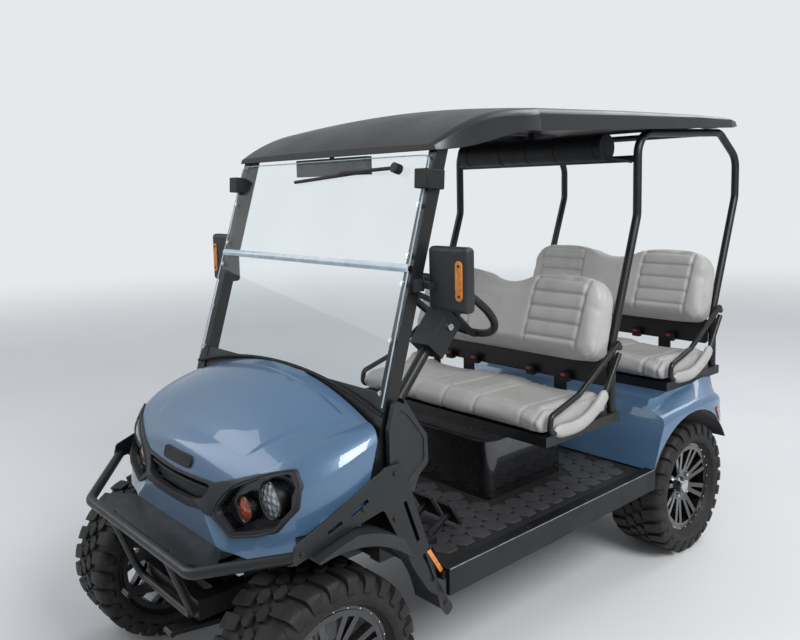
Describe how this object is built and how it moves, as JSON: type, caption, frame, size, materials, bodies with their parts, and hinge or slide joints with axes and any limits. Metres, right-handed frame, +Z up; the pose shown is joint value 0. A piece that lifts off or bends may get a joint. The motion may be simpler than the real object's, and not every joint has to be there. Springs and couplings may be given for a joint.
{
  "type": "golf cart",
  "caption": "Forward-facing bench-seat golf cart with blue cowl and rear body, folding windshield, moulded roof, side guards, steered front wheels and lugged tyres.",
  "frame": {"origin": "on the ground below the middle of the cart's box", "axes": "+X to the driver's side (left), -Y forward, +Z up"},
  "size_m": [1.4326, 2.827, 1.8918],
  "materials": {
    "black_steel": "satin black powder coat",
    "bare_steel": "bare ground steel",
    "black_plastic": "matt black moulded plastic",
    "charcoal_plastic": "grained charcoal plastic",
    "roof_plastic": "satin black moulded plastic",
    "mat_rubber": "ribbed black rubber",
    "grip_rubber": "soft black grip",
    "black_aluminium": "dark anodised aluminium",
    "blue_paint": "gloss slate-blue paint",
    "lamp_black": "black lamp housing with clear and amber lenses",
    "clear_screen": "clear screen",
    "gloss_black": "gloss black",
    "grey_vinyl": "light warm-grey vinyl",
    "tyre_rubber": "black tyre rubber",
    "red_lens": "red lamp lens"
  },
  "bodies": {
    "chassis": {"frame": "black_steel", "front_axle": "black_steel", "rear_axle": "black_steel", "floor_pan": "black_plastic", "floor_mat": "mat_rubber", "rockers": "black_aluminium", "front_cowl": "blue_paint", "grille_bezel": "charcoal_plastic", "grille": "black_plastic", "nose_badge": "black_plastic", "headlamps": "lamp_black", "front_bumper": "black_steel", "skid_plate": "black_steel", "side_guards": "black_steel", "front_flares": "charcoal_plastic", "dash": "charcoal_plastic", "dash_pods": "charcoal_plastic", "windshield_lower": "clear_screen", "windshield_upper": "clear_screen", "windshield_seal": "mat_rubber", "front_posts": "black_steel", "rear_roof_frame": "black_steel", "roof": "roof_plastic", "sound_bar": "black_plastic", "side_mirrors": "charcoal_plastic", "cab_mirror": "charcoal_plastic", "wiper": "black_plastic", "steering_column": "black_steel", "pedals": "black_steel", "front_seat_base": "gloss_black", "battery_block": "black_plastic", "front_seat_frame": "black_steel", "front_seat_cushion": "grey_vinyl", "front_seat_back": "grey_vinyl", "rear_seat_frame": "black_steel", "rear_seat_cushion": "grey_vinyl", "rear_seat_back": "grey_vinyl", "rear_body": "blue_paint", "wheel_liners": "black_plastic", "tail_lamps": "red_lens", "rear_bumper": "black_steel"},
    "knuckle_left": {"knuckle_left": "black_steel"},
    "knuckle_right": {"knuckle_right": "black_steel"},
    "rack": {"rack_bar": "bare_steel"},
    "steering_wheel": {"steering_wheel": "grip_rubber"},
    "wheel_front_left": {"rim_front_left": "gloss_black", "tyre_front_left": "tyre_rubber"},
    "wheel_front_right": {"rim_front_right": "gloss_black", "tyre_front_right": "tyre_rubber"},
    "wheel_rear_left": {"rim_rear_left": "gloss_black", "tyre_rear_left": "tyre_rubber"},
    "wheel_rear_right": {"rim_rear_right": "gloss_black", "tyre_rear_right": "tyre_rubber"}
  },
  "joints": [
    {"name": "steer_left", "type": "hinge", "parent": "chassis", "child": "knuckle_left", "pos_m": [0.325, -1.1015, 0.28], "axis": [0, 0, 1], "range_deg": [-28, 28]},
    {"name": "steer_right", "type": "hinge", "parent": "chassis", "child": "knuckle_right", "pos_m": [-0.325, -1.1015, 0.28], "axis": [0, 0, 1], "range_deg": [-28, 28]},
    {"name": "rack_slide", "type": "slide", "parent": "chassis", "child": "rack", "axis": [1, 0, 0], "range_m": [-0.0517, 0.0517]},
    {"name": "steering_wheel_turn", "type": "hinge", "parent": "chassis", "child": "steering_wheel", "pos_m": [0.262, -0.3095, 1.172], "axis": [0, 0.6691, 0.7431], "range_deg": [-253, 253]},
    {"name": "spin_front_left", "type": "hinge", "parent": "knuckle_left", "child": "wheel_front_left", "pos_m": [0.484, -1.1015, 0.28], "axis": [1, 0, 0], "continuous": true},
    {"name": "spin_front_right", "type": "hinge", "parent": "knuckle_right", "child": "wheel_front_right", "pos_m": [-0.484, -1.1015, 0.28], "axis": [1, 0, 0], "continuous": true},
    {"name": "spin_rear_left", "type": "hinge", "parent": "chassis", "child": "wheel_rear_left", "pos_m": [0.484, 0.8085, 0.28], "axis": [1, 0, 0], "continuous": true},
    {"name": "spin_rear_right", "type": "hinge", "parent": "chassis", "child": "wheel_rear_right", "pos_m": [-0.484, 0.8085, 0.28], "axis": [1, 0, 0], "continuous": true}
  ],
  "couplings": [
    {"joint": "steer_right", "follows": "steer_left", "ratio": 1},
    {"joint": "rack_slide", "follows": "steer_left", "m_per_rad": -0.10567},
    {"joint": "steering_wheel_turn", "follows": "steer_left", "ratio": 9}
  ]
}
